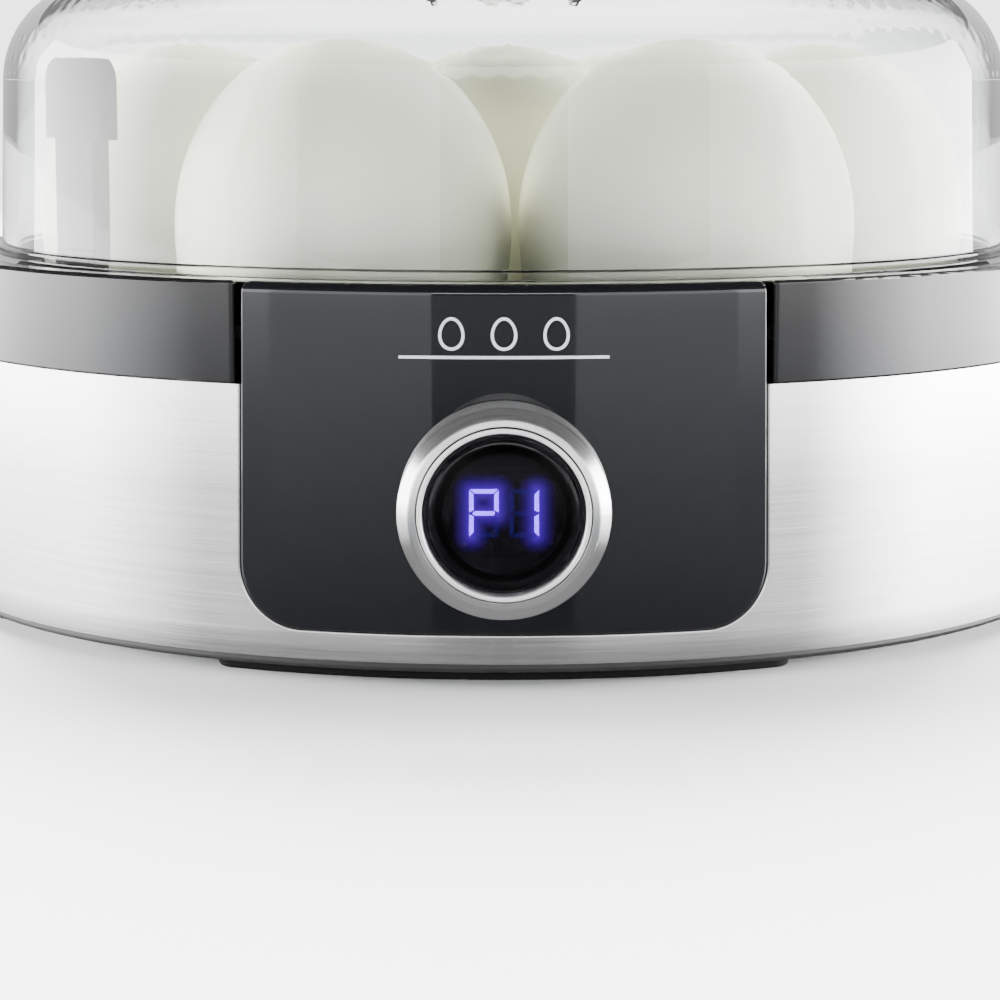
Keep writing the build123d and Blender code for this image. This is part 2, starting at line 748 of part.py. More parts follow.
def lid_shell():
    foot_ring = turned(
        (75.6, LEDGE_Z), (LID_FOOT_R, LEDGE_Z, 0.4), (LID_FOOT_R, 50.2, 0.6), (75.9, 50.9, 0.3),
        (75.9, 52.3, 0.4), (74.6, 52.3), (74.6, 49.5), (75.6, 49.5),
    )
    body = lid_solid(0) - disc(90, 40, 49.5) + foot_ring
    body += disc(11, LID_KNOB_Z - 2.6, LID_KNOB_Z)
    body -= lid_solid(LID_T) & disc(90, 40, LID_KNOB_Z - 2.6)
    for angle in (60, 90, 120):
        body -= disc(1.6, 90, 105, *polar(24, angle))
    return body - disc(2.2, 90, 105)


def lid_knob():
    low = LID_KNOB_Z
    return turned(
        (0, low + 11), (2.05, low + 11), (2.05, low), (11.0, low, 0.5), (8.2, low + 5.5, 3.0),
        (16.6, low + 9.5, 1.5), (17.4, low + 15.0, 2.0), (15.6, low + 17.6, 0.8),
        (13.6, low + 17.6, 0.3), (13.6, low + 16.8), (0, low + 16.8),
    )


def lid_knob_inlay():
    low = LID_KNOB_Z + 16.8
    return turned((0, low), (13.5, low), (13.5, low + 0.9, 0.3), (0, low + 1.2))


def lid_knob_washer():
    low = LID_KNOB_Z - 2.6
    return ring(6.0, 2.1, low - 1.0, low)


def lid_knob_screw():
    low = LID_KNOB_Z - 3.6
    return screw(4.0, low - 2.2, low, 2.0, LID_KNOB_Z + 10.0, 1.0)


lit_digits, dark_digits = digits()

export("steel_band", steel_band())
export("upper_collar", upper_collar())
export("front_panel", front_panel())
export("bottom_cover", bottom_cover())
export("rubber_feet", *rubber_feet())
export("cord_gland", cord_gland())
export("base_housing", base_housing())
export("rim_ring", rim_ring())
export("rim_screws", *rim_screws())
export("bottom_screws", *bottom_screws())
export("heating_bowl", heating_bowl())
export("bowl_gasket", bowl_gasket())
export("heating_element", heating_element())
export("thermostat", thermostat())
export("thermostat_clip", thermostat_clip())
export("thermal_fuse", thermal_fuse())
export("heat_shield", heat_shield())
export("power_board", power_board())
export("power_standoffs", *power_standoffs())
export("power_board_screws", *power_board_screws())
export("relay", relay())
export("capacitor", *capacitor())
export("transformer", *transformer())
export("buzzer", buzzer())
export("terminal_block", terminal_block())
export("mains_wires", *mains_wires())
export("control_board", control_board())
export("control_board_screws", *control_board_screws())
export("knob_ring", knob_ring())
export("knob_trim_ring", knob_trim_ring())
export("knob_sleeve", knob_sleeve())
export("encoder_pinion", encoder_pinion())
export("encoder_body", encoder_body())
export("display_mount", display_mount())
export("button_lens", button_lens())
export("button_carrier", button_carrier())
export("display_module", display_module())
export("tact_switches", *tact_switches())
export("digits_lit", *lit_digits)
export("digits_dark", *dark_digits)
export("display_film", display_film())
export("ribbon_cable", ribbon_cable())
export("egg_carrier", egg_carrier())
export("carrier_handles", *carrier_handles())
export("eggs", *eggs())
export("lid_shell", lid_shell())
export("lid_knob", lid_knob())
export("lid_knob_inlay", lid_knob_inlay())
export("lid_knob_washer", lid_knob_washer())
export("lid_knob_screw", lid_knob_screw())
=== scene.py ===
import math

import bmesh
import bpy
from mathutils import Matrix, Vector


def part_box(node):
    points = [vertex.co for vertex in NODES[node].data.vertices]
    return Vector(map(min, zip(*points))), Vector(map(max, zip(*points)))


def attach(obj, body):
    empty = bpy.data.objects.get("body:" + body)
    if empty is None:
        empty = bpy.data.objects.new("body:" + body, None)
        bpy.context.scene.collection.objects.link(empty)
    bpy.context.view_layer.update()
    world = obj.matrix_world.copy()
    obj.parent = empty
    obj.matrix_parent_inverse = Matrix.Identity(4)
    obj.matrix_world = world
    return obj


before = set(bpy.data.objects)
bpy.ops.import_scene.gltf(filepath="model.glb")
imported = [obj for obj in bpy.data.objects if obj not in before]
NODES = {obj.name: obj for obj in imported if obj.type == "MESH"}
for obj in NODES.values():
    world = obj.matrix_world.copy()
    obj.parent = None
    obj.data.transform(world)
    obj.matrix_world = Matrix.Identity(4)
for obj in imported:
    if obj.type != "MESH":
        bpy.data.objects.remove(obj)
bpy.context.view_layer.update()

MM = 0.001


# ---- places taken from the frame ----

def middle(node):
    low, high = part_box(node)
    return (Vector(low) + Vector(high)) / 2


BAND_LOW, BAND_HIGH = (Vector(corner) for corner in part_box("steel_band"))
AXIS = Vector((0, (BAND_LOW.y + BAND_HIGH.y) / 2, 0))
BASE_R = (BAND_HIGH.x - BAND_LOW.x) / 2
RIM_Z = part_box("upper_collar")[1][2]
KNOB_AXIS = middle("knob_ring")
PANEL_R = AXIS.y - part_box("front_panel")[0][1]


# ---- shader helper ----

class Shader:
    """One material's node tree, with short calls to add and join nodes."""

    def __init__(self, name):
        self.material = bpy.data.materials.new(name)
        self.material.use_nodes = True
        self.tree = self.material.node_tree
        self.surface = self.tree.nodes["Principled BSDF"]
        self.output = self.tree.nodes["Material Output"]

    def set(self, **sockets):
        """Constants or links on the Principled shader; an underscore stands for a space."""
        for name, value in sockets.items():
            self.feed(self.surface.inputs[name.replace("_", " ")], value)
        return self

    def feed(self, socket, value):
        if isinstance(value, bpy.types.NodeSocket):
            self.tree.links.new(value, socket)
        else:
            socket.default_value = value

    def node(self, kind, *inputs, out=0, **settings):
        """Adds a node, sets its settings and its first inputs, and gives one output."""
        made = self.tree.nodes.new("ShaderNode" + kind)
        for name, value in settings.items():
            setattr(made, name, value)
        for socket, value in zip(made.inputs, inputs):
            if value is not None:
                self.feed(socket, value)
        return made.outputs[out]

    def place(self):
        """Object space, which is the frame's own metres."""
        return self.node("TexCoord", out="Object")

    def parts_of_place(self):
        """The place's X, Y and Z outputs."""
        split = self.tree.nodes.new("ShaderNodeSeparateXYZ")
        self.feed(split.inputs[0], self.place())
        return split.outputs

    def math(self, operation, a, b=0.0, c=0.0):
        return self.node("Math", a, b, c, operation=operation)

    def length(self, a, b):
        """Length of the vector (a, b)."""
        return self.math("SQRT", self.math("ADD", self.math("POWER", a, 2.0),
                                           self.math("POWER", b, 2.0)))

    def noise(self, vector, scale, detail=4.0, rough=0.55):
        made = self.tree.nodes.new("ShaderNodeTexNoise")
        self.feed(made.inputs["Vector"], vector)
        made.inputs["Scale"].default_value = scale
        made.inputs["Detail"].default_value = detail
        made.inputs["Roughness"].default_value = rough
        return made.outputs["Fac"]

    def remap(self, value, low, high, from_low=0.0, from_high=1.0):
        made = self.tree.nodes.new("ShaderNodeMapRange")
        self.feed(made.inputs["Value"], value)
        for name, number in (("From Min", from_low), ("From Max", from_high),
                             ("To Min", low), ("To Max", high)):
            made.inputs[name].default_value = number
        return made.outputs["Result"]

    def shades(self, value, *stops):
        """Colour ramp from (position, colour) stops."""
        made = self.tree.nodes.new("ShaderNodeValToRGB")
        self.feed(made.inputs["Fac"], value)
        ramp = made.color_ramp
        while len(ramp.elements) < len(stops):
            ramp.elements.new(1.0)
        for element, (position, colour) in zip(ramp.elements, stops):
            element.position = position
            element.color = (*colour, 1.0)
        return made.outputs["Color"]

    def bump(self, height, depth):
        """Bump of a real depth in metres."""
        made = self.tree.nodes.new("ShaderNodeBump")
        made.inputs["Strength"].default_value = 1.0
        made.inputs["Distance"].default_value = depth
        self.feed(made.inputs["Height"], height)
        return made.outputs["Normal"]


def grey(level, tint=(1.0, 1.0, 1.0)):
    return tuple(level * part for part in tint)


# ---- coordinates for brushing ----

def round_base(shader):
    """(arc length, height, radius) about the base's axis."""
    place = shader.parts_of_place()
    y = shader.math("SUBTRACT", place["Y"], AXIS.y)
    angle = shader.math("ARCTAN2", place["X"], shader.math("MULTIPLY", y, -1.0))
    radius = shader.length(place["X"], y)
    return shader.math("MULTIPLY", angle, BASE_R), place["Z"], radius


def round_knob(shader):
    """(angle, reach along the knob's axis, radius) about the knob's axis."""
    place = shader.parts_of_place()
    up = shader.math("SUBTRACT", place["Z"], KNOB_AXIS.z)
    angle = shader.math("ARCTAN2", up, place["X"])
    return angle, place["Y"], shader.length(place["X"], up)


def vector(shader, x, y, z=0.0):
    return shader.node("CombineXYZ", x, y, z)


# ---- materials ----

CROWN_H, CROWN_TILT = 14 * MM, math.tan(math.radians(4.5))
HEM_H, HEM_TILT = 3.5 * MM, math.tan(math.radians(8))
BRUSH_DEPTH = 0.000008
STEEL_TINT = (1.0, 0.995, 0.985)


def rolled_edge(shader, height, edge, run, tilt):
    """Depth, in metres, by which the sheet falls back in the last run before an edge."""
    into = shader.math("DIVIDE", shader.math("SUBTRACT", height, edge - run), run)
    into = shader.math("MAXIMUM", into, 0.0)
    return shader.math("MULTIPLY", shader.math("MULTIPLY", into, into), abs(run) * tilt / 2)


def brushed_band():
    """Steel brushed round the base: fine streaks along the arc."""
    shader = Shader("brushed_band")
    arc, height, _ = round_base(shader)
    fine = shader.noise(vector(shader, shader.math("MULTIPLY", arc, 60.0),
                               shader.math("MULTIPLY", height, 9000.0)), 1.0, 3.0)
    coarse = shader.noise(vector(shader, shader.math("MULTIPLY", arc, 14.0),
                                 shader.math("MULTIPLY", height, 1500.0)), 1.0, 2.0)
    streak = shader.math("ADD", shader.math("MULTIPLY", fine, 0.6),
                         shader.math("MULTIPLY", coarse, 0.4))
    fall = shader.math("ADD", rolled_edge(shader, height, BAND_HIGH.z, CROWN_H, CROWN_TILT),
                       rolled_edge(shader, height, BAND_LOW.z, -HEM_H, HEM_TILT))
    relief = shader.math("SUBTRACT", shader.math("MULTIPLY", streak, BRUSH_DEPTH), fall)
    shader.set(
        Base_Color=shader.shades(streak, (0.3, grey(0.56, STEEL_TINT)), (0.7, grey(0.74, STEEL_TINT))),
        Metallic=1.0,
        Roughness=shader.remap(streak, 0.20, 0.30),
        Anisotropic=0.7,
        Anisotropic_Rotation=0.25,
        Tangent=shader.node("Tangent", direction_type="RADIAL", axis="Z"),
        Normal=shader.bump(relief, 1.0),
    )
    return shader.material


def moulded(name, level, roughness, grain=0.00002, size=0.0006, tint=(1.0, 1.0, 1.05), shine=0.5):
    """Black moulded plastic with a fine grain."""
    shader = Shader(name)
    place = shader.place()
    grain_noise = shader.noise(place, 1.0 / size, 3.0)
    cloud = shader.noise(place, 45.0, 2.0)
    shader.set(
        Base_Color=shader.shades(cloud, (0.35, grey(level * 0.9, tint)),
                                 (0.65, grey(level * 1.1, tint))),
        Roughness=shader.remap(cloud, roughness - 0.03, roughness + 0.03, 0.3, 0.7),
        Specular_IOR_Level=shine,
        Normal=shader.bump(grain_noise, grain),
    )
    return shader.material


def piano_black():
    """High-gloss moulded panel, with the faint waviness of a moulded surface."""
    shader = Shader("piano_black")
    place = shader.place()
    wave = shader.noise(place, 60.0, 2.0)
    dust = shader.noise(place, 2600.0, 2.0)
    shader.set(
        Base_Color=shader.shades(dust, (0.62, (0.0035, 0.004, 0.0052)),
                                 (0.8, (0.006, 0.0065, 0.008))),
        Roughness=shader.remap(wave, 0.035, 0.06, 0.3, 0.7),
        IOR=1.52,
        Normal=shader.bump(wave, 0.00001),
    )
    return shader.material


FACE_TILT = math.tan(math.radians(10))
GROOVE_SCALE = 26000.0
GROOVE_DEPTH = 0.000006


def turned_aluminium():
    """Knob ring: turned face with fine concentric grooves, darker brushed wall."""
    shader = Shader("turned_aluminium")
    angle, reach, radius = round_knob(shader)
    grooves = shader.noise(vector(shader, shader.math("MULTIPLY", radius, GROOVE_SCALE),
                                  shader.math("MULTIPLY", reach, GROOVE_SCALE),
                                  shader.math("MULTIPLY", angle, 1.2)), 1.0, 3.0)
    relief = shader.math("SUBTRACT", shader.math("MULTIPLY", grooves, GROOVE_DEPTH),
                         shader.math("MULTIPLY", radius, FACE_TILT))
    shader.set(
        Base_Color=shader.shades(grooves, (0.3, grey(0.70)), (0.7, grey(0.86))),
        Metallic=1.0,
        Roughness=shader.remap(grooves, 0.24, 0.34),
        Anisotropic=0.8,
        Anisotropic_Rotation=0.25,
        Tangent=shader.node("Tangent", direction_type="RADIAL", axis="Y"),
        Normal=shader.bump(relief, 1.0),
    )
    return shader.material


def trim_ring():
    """Bright turned ring, with painted shade in the narrow joint at its outer edge."""
    shader = Shader("knob_trim")
    smear = shader.noise(shader.place(), 900.0, 3.0)
    radius = round_knob(shader)[2]
    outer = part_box("knob_trim_ring")[1][0]
    # painted shade: the outer 0.1 to 0.2 mm of the ring is darkened where the gap against the knob
    # ring lies in shadow
    joint_shade = shader.remap(radius, 1.0, 0.0, outer - 0.22 * MM, outer - 0.10 * MM)
    joint_shade_and_smear = shader.math("MULTIPLY", joint_shade, shader.remap(smear, 0.94, 1.0))
    shader.set(
        Base_Color=shader.shades(joint_shade_and_smear, (0.0, grey(0.01)), (1.0, grey(0.97))),
        Metallic=0.55,
        Roughness=shader.remap(smear, 0.30, 0.40, 0.3, 0.7),
    )
    return shader.material


def sheet_metal(name, colour, roughness, scale=300.0, depth=0.00001):
    """Plain rolled or cast metal with uneven sheen."""
    shader = Shader(name)
    cloud = shader.noise(shader.place(), scale, 5.0, 0.6)
    darker = tuple(part * 0.82 for part in colour)
    shader.set(
        Base_Color=shader.shades(cloud, (0.35, darker), (0.65, colour)),
        Metallic=1.0,
        Roughness=shader.remap(cloud, roughness * 0.8, roughness * 1.2, 0.3, 0.7),
        Normal=shader.bump(cloud, depth),
    )
    return shader.material


def plain(name, colour, roughness, scale=400.0, depth=0.00001, coat=0.0):
    """Coloured plastic, rubber or board with a slight mottle."""
    shader = Shader(name)
    cloud = shader.noise(shader.place(), scale, 4.0)
    darker = tuple(part * 0.85 for part in colour)
    shader.set(
        Base_Color=shader.shades(cloud, (0.35, darker), (0.65, colour)),
        Roughness=shader.remap(cloud, roughness * 0.88, min(1.0, roughness * 1.12), 0.3, 0.7),
        Coat_Weight=coat,
        Normal=shader.bump(cloud, depth),
    )
    return shader.material


def clear_plastic(tint):
    """Clear wall that lets lamps light what is behind it."""
    shader = Shader("clear_lid")
    wave = shader.noise(shader.place(), 40.0, 1.0)
    shader.set(
        Base_Color=shader.shades(wave, (0.3, tuple(part * 0.985 for part in tint)), (0.7, tint)),
        Roughness=0.008,
        IOR=1.49,
        Transmission_Weight=1.0,
        Normal=shader.bump(wave, 0.00002),
    )
    through = shader.node("BsdfTransparent", (*tuple(part * 0.97 for part in tint), 1.0))
    path = shader.tree.nodes.new("ShaderNodeLightPath")
    either = shader.math("MAXIMUM", path.outputs["Is Shadow Ray"], path.outputs["Is Diffuse Ray"])
    blend = shader.tree.nodes.new("ShaderNodeMixShader")
    shader.feed(blend.inputs[0], either)
    shader.feed(blend.inputs[1], shader.surface.outputs[0])
    shader.feed(blend.inputs[2], through)
    shader.feed(shader.output.inputs["Surface"], blend.outputs[0])
    return shader.material


def smoked_lens():
    """Dark tinted window that shows only what glows behind it."""
    shader = Shader("smoked_lens")
    haze = shader.noise(shader.place(), 700.0, 2.0)
    shader.set(
        Base_Color=shader.shades(haze, (0.3, (0.108, 0.095, 0.136)), (0.7, (0.114, 0.100, 0.142))),
        Roughness=shader.remap(haze, 0.02, 0.04, 0.3, 0.7),
        IOR=1.25,
        Transmission_Weight=1.0,
    )
    return shader.material


def eggshell():
    """Pale shell: soft mottling, fine pores and a smooth sheen."""
    shader = Shader("eggshell")
    place = shader.place()
    cloud = shader.noise(place, 55.0, 3.0)
    pores = shader.tree.nodes.new("ShaderNodeTexVoronoi")
    shader.feed(pores.inputs["Vector"], place)
    pores.inputs["Scale"].default_value = 1500.0
    grain = shader.noise(place, 900.0, 3.0)
    dimple = shader.math("ADD", shader.remap(pores.outputs["Distance"], 0.0, 1.0, 0.05, 0.35),
                         shader.math("MULTIPLY", grain, 0.4))
    shader.set(
        Base_Color=shader.shades(cloud, (0.3, (0.84, 0.845, 0.66)), (0.7, (0.88, 0.88, 0.73))),
        Roughness=shader.remap(grain, 0.30, 0.42, 0.3, 0.7),
        Coat_Weight=0.5,
        Coat_Roughness=0.12,
        Normal=shader.bump(dimple, 0.000012),
    )
    return shader.material


def glowing(name, colour, strength):
    """Lit segment with a slightly uneven brightness."""
    shader = Shader(name)
    cloud = shader.noise(shader.place(), 3000.0, 1.0)
    shader.set(
        Base_Color=(0.02, 0.02, 0.03, 1.0),
        Roughness=0.4,
        Emission_Color=shader.shades(cloud, (0.2, grey(0.94, colour)), (0.8, colour)),
        Emission_Strength=strength,
    )
    return shader.material


# ---- mesh helpers ----

def add_mesh(name, mesh, material, body=None, smooth=True):
    piece = bpy.data.objects.new(name, mesh)
    bpy.context.collection.objects.link(piece)
    if smooth:
        for polygon in mesh.polygons:
            polygon.use_smooth = True
    if material is not None:
        mesh.materials.append(material)
    if body is not None:
        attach(piece, body)
    return piece


# ---- display ----

DIGIT_W, DIGIT_H, DIGIT_PITCH, STROKE = (value * MM for value in (3.63, 6.0, 4.96, 0.55))
GLOW_FALL = 0.80 * MM
SEGMENTS = {
    "a": ((-1, 1), (1, 1)), "b": ((1, 0), (1, 1)), "c": ((1, -1), (1, 0)), "e": ((-1, -1), (-1, 0)),
    "f": ((-1, 0), (-1, 1)), "g": ((-1, 0), (1, 0)),
}


def lit_strokes():
    """Middle lines, in the XZ plane, of the segments that show P1."""
    half_w, half_h = (DIGIT_W - STROKE) / 2, (DIGIT_H - STROKE) / 2
    for centre, shown in ((-DIGIT_PITCH / 2, "abefg"), (DIGIT_PITCH / 2, "bc")):
        for name in shown:
            yield [(centre + half_w * u, KNOB_AXIS.z + half_h * v) for u, v in SEGMENTS[name]]


def distance_to(shader, x, z, start, end):
    """Distance from a point to the edge of an upright or level bar."""
    offs = []
    for value, a, b in ((x, start[0], end[0]), (z, start[1], end[1])):
        off = shader.math("ABSOLUTE", shader.math("SUBTRACT", value, (a + b) / 2))
        offs.append(shader.math("MAXIMUM", shader.math("SUBTRACT", off, abs(a - b) / 2), 0.0))
    return shader.math("MAXIMUM", shader.math("SUBTRACT", shader.length(*offs), STROKE / 2), 0.0)


def glowing_film():
    """Film over the digits, with their light painted on it as a glow that fades with distance."""
    shader = Shader("glowing_film")
    place = shader.parts_of_place()
    glow = 0.0
    for start, end in lit_strokes():
        near = distance_to(shader, place["X"], place["Z"], start, end)
        light = shader.math("POWER", math.e, shader.math("MULTIPLY", near, -1.0 / GLOW_FALL))
        glow = shader.math("MAXIMUM", glow, light)
    # painted glow: emission is strongest at the lit strokes and fades with distance from them
    shader.set(
        Base_Color=(0.9, 0.9, 0.9, 1.0),
        Roughness=0.0,
        IOR=1.02,
        Transmission_Weight=1.0,
        Emission_Color=shader.shades(glow, (0.07, (0.0, 0.0, 0.0)), (1.0, (0.17, 0.0, 1.0))),
        Emission_Strength=2.2,
    )
    return shader.material


# ---- printed mark on the panel ----

PRINT_WIDTH = 26.6 * MM
PRINT_LINE = 0.38 * MM
MARK_H = 4.2 * MM
MARK_W = 3.3 * MM
MARK_PITCH = 6.6 * MM
MARK_Z = RIM_Z - 6.2 * MM
UNDERLINE_Z = RIM_Z - 9.35 * MM
PRINT_NEAR = 0.004 * MM
PRINT_FAR = 0.02 * MM
EGG_STEPS = 72
LINE_STEPS = 24


def on_panel(across, z, lift):
    """Point at an arc length across the panel's face."""
    turn = across / PANEL_R
    reach = PANEL_R + lift
    return AXIS + Vector((reach * math.sin(turn), -reach * math.cos(turn), z))


def printed_strip(name, left, right, closed, ink):
    """Thin raised strip of ink between two lines of (across, height) points."""
    mesh = bmesh.new()
    corners = ((left, PRINT_NEAR), (left, PRINT_FAR), (right, PRINT_FAR), (right, PRINT_NEAR))
    rows = [[mesh.verts.new(on_panel(*point, lift)) for point in line] for line, lift in corners]
    count = len(left)
    for i in range(count if closed else count - 1):
        j = (i + 1) % count
        for lower, upper in zip(rows, rows[1:] + rows[:1]):
            mesh.faces.new((lower[i], lower[j], upper[j], upper[i]))
    if not closed:
        for end in (0, -1):
            mesh.faces.new([row[end] for row in rows])
    bmesh.ops.recalc_face_normals(mesh, faces=mesh.faces)
    data = bpy.data.meshes.new(name)
    mesh.to_mesh(data)
    mesh.free()
    return add_mesh(name, data, ink, "base", smooth=False)


def egg_line(centre, inset):
    """Outline of an egg, blunt end up, on the panel."""
    wide, tall = MARK_W / 2 - inset, MARK_H / 2 - inset
    points = []
    for i in range(EGG_STEPS):
        turn = 2 * math.pi * i / EGG_STEPS
        narrow = 1 - 0.10 * math.sin(turn)
        points.append((centre + wide * narrow * math.cos(turn), MARK_Z + tall * math.sin(turn)))
    return points


def build_print():
    """Generic mark in place of the photographed lettering: three egg outlines over a line."""
    ink = plain("panel_ink", (0.56, 0.58, 0.60), 0.45, 1500.0, 0.000002)
    for number in (-1, 0, 1):
        centre = number * MARK_PITCH
        printed_strip(f"mark_egg_{number + 2}", egg_line(centre, 0.0),
                      egg_line(centre, PRINT_LINE), True, ink)
    line = [PRINT_WIDTH * (i / LINE_STEPS - 0.5) for i in range(LINE_STEPS + 1)]
    printed_strip("mark_line", [(u, UNDERLINE_Z) for u in line],
                  [(u, UNDERLINE_Z + PRINT_LINE) for u in line], False, ink)


# ---- CAD nodes and their materials ----

def dress():
    """Every CAD node that shows keeps its shape and gets a finished material."""
    satin = moulded("satin_black", 0.006, 0.13, grain=0.000005, shine=0.36)
    housing = moulded("grained_black", 0.02, 0.5, grain=0.00003, size=0.0008)
    component = plain("component_black", (0.03, 0.03, 0.033), 0.45)
    board = plain("circuit_board", (0.03, 0.18, 0.07), 0.35, scale=900.0, coat=0.4)
    screw = sheet_metal("screw_steel", (0.62, 0.62, 0.60), 0.3)
    spring = sheet_metal("spring_steel", (0.58, 0.58, 0.57), 0.28)
    rubber = moulded("foot_rubber", 0.003, 0.75, grain=0.00003, size=0.0004, shine=0.2)
    looks = {
        "steel_band": brushed_band(),
        "upper_collar": satin,
        "front_panel": piano_black(),
        "bottom_cover": housing,
        "rubber_feet": rubber,
        "cord_gland": rubber,
        "base_housing": housing,
        "rim_ring": satin,
        "rim_screws": screw,
        "bottom_screws": screw,
        "heating_bowl": sheet_metal("coated_bowl", (0.50, 0.50, 0.51), 0.32, 120.0),
        "bowl_gasket": plain("grey_silicone", (0.45, 0.45, 0.43), 0.5),
        "heating_element": sheet_metal("element_metal", (0.30, 0.29, 0.28), 0.5),
        "thermostat": component,
        "thermostat_clip": spring,
        "thermal_fuse": plain("fuse_body", (0.72, 0.70, 0.64), 0.4),
        "heat_shield": spring,
        "power_board": board,
        "power_standoffs": sheet_metal("brass", (0.72, 0.52, 0.22), 0.3),
        "power_board_screws": screw,
        "relay": component,
        "capacitor": plain("film_capacitor", (0.65, 0.42, 0.06), 0.35, coat=0.3),
        "transformer": plain("ferrite", (0.06, 0.058, 0.058), 0.6, 1500.0, 0.00002),
        "buzzer": component,
        "terminal_block": plain("white_nylon", (0.75, 0.74, 0.68), 0.45),
        "mains_wires": plain("wire_sheath", (0.42, 0.05, 0.04), 0.4),
        "ribbon_cable": plain("ribbon_sheath", (0.40, 0.40, 0.42), 0.45),
        "control_board": board,
        "control_board_screws": screw,
        "encoder_body": component,
        "display_mount": housing,
        "display_module": plain("display_case", (0.002, 0.002, 0.003), 0.6),
        "digits_lit": glowing("digit_lit", (0.22, 0.10, 1.0), 34.0),
        # the unlit segments get a faint painted glow
        "digits_dark": glowing("digit_dark", (0.05, 0.0, 1.0), 0.6),
        "display_film": glowing_film(),
        "tact_switches": component,
        "knob_ring": turned_aluminium(),
        "knob_trim_ring": trim_ring(),
        "knob_sleeve": housing,
        "encoder_pinion": plain("gear_nylon", (0.75, 0.74, 0.68), 0.45),
        "button_lens": smoked_lens(),
        "eggs": eggshell(),
        "button_carrier": housing,
        "egg_carrier": satin,
        "carrier_handles": satin,
        "lid_shell": clear_plastic((0.97, 0.985, 0.975)),
        "lid_knob": satin,
        "lid_knob_inlay": sheet_metal("brushed_inlay", (0.66, 0.66, 0.65), 0.3),
        "lid_knob_washer": plain("clear_silicone", (0.55, 0.55, 0.53), 0.5),
        "lid_knob_screw": screw,
    }
    for node, material in looks.items():
        NODES[node].material_slots[0].material = material


# ---- stage ----

FLOOR_FADE = (0.45, 1.30)
FLOOR_HALF = 3.0
FAR_GLOW = 3.2


def build_floor():
    """Pale floor that turns into the pale surround further out."""
    shader = Shader("floor")
    cloud = shader.noise(shader.place(), 3.0, 2.0)
    away = shader.remap(round_base(shader)[2], 0.0, 1.0, FLOOR_FADE[0], FLOOR_FADE[1])
    near = shader.shades(cloud, (0.3, grey(0.80)), (0.7, grey(0.83)))
    fade = shader.tree.nodes.new("ShaderNodeMixRGB")
    shader.feed(fade.inputs["Fac"], away)
    shader.feed(fade.inputs["Color1"], near)
    fade.inputs["Color2"].default_value = (0.02, 0.02, 0.02, 1.0)
    shader.set(
        Base_Color=fade.outputs["Color"],
        Emission_Color=shader.shades(away, (0.0, (0.0, 0.0, 0.0)), (1.0, (0.985, 1.0, 1.015))),
        Emission_Strength=FAR_GLOW,
        Roughness=0.55,
        Specular_IOR_Level=0.25,
    )
    mesh = bpy.data.meshes.new("floor")
    corners = [(FLOOR_HALF * x, FLOOR_HALF * y, 0) for x, y in ((-1, -1), (1, -1), (1, 1), (-1, 1))]
    mesh.from_pydata(corners, [], [(0, 1, 2, 3)])
    floor = add_mesh("floor", mesh, shader.material)
    floor.visible_glossy = False


def card_material(name, stops):
    """Light that changes with height: stops are (height in mm, strength, blueness)."""
    shader = Shader(name)
    place = shader.parts_of_place()
    low, high = stops[0][0], stops[-1][0]
    fraction = shader.remap(place["Z"], 0.0, 1.0, low * MM, high * MM)
    peak = max(strength for _, strength, _ in stops)
    colours = [((at - low) / (high - low), grey(strength / peak, (1.0 - blue, 1.0, 1.0 + blue)))
               for at, strength, blue in stops]
    lamp = shader.tree.nodes.new("ShaderNodeEmission")
    shader.feed(lamp.inputs["Color"], shader.shades(fraction, *colours))
    lamp.inputs["Strength"].default_value = peak
    shader.tree.nodes.remove(shader.surface)
    shader.feed(shader.output.inputs["Surface"], lamp.outputs[0])
    return shader.material


def curved_card(name, radius, start, end, stops, steps=24):
    """Upright sheet of light round the object, between two angles from the front."""
    points, faces = [], []
    for i in range(steps + 1):
        turn = math.radians(start + (end - start) * i / steps)
        for z in (stops[0][0] * MM, stops[-1][0] * MM):
            points.append(AXIS + Vector((radius * math.sin(turn), -radius * math.cos(turn), z)))
    for i in range(steps):
        a = 2 * i
        faces.append((a, a + 2, a + 3, a + 1))
    mesh = bpy.data.meshes.new(name)
    mesh.from_pydata(points, [], faces)
    card = add_mesh(name, mesh, card_material(name, stops))
    card.visible_camera = False
    card.visible_diffuse = False
    card.visible_transmission = False
    card.visible_shadow = False


CARD_R = 0.70
CENTRE_HALF = 14            # degrees from the front, here and below
INNER_START, OUTER_START, BLEND_START, BACK_START = 12.9, 43, 60, 125
BLENDS, BLEND_STEP = 8, 3
EDGE_START = BLEND_START + BLENDS * BLEND_STEP
INNER_STOPS = (
    (-300, 0.20, 0.03), (-103, 0.42, 0.03), (-91, 0.55, 0.03), (-61, 0.90, 0.03), (-35, 1.28, 0.03),
    (-1, 1.75, 0.03), (30, 3.6, 0.0), (300, 3.6, 0.0),
)
OUTER_STOPS = (
    (-300, 0.15, 0.03), (-103, 0.46, 0.03), (-61, 0.80, 0.03), (-35, 1.20, 0.03), (-1, 2.4, 0.02),
    (30, 6.5, 0.0), (300, 6.5, 0.0),
)
LEFT_STOPS = (
    (-300, 0.30, 0.0), (-103, 3.0, 0.0), (-61, 6.0, 0.0), (-35, 9.0, 0.0), (-1, 14.0, 0.0),
    (30, 15.0, 0.0), (300, 12.0, 0.0),
)
RIGHT_STOPS = (
    (-300, 0.30, 0.0), (-103, 6.0, 0.0), (-61, 10.0, 0.0), (-35, 15.0, 0.0), (-1, 24.0, 0.0),
    (30, 25.0, 0.0), (300, 14.0, 0.0),
)
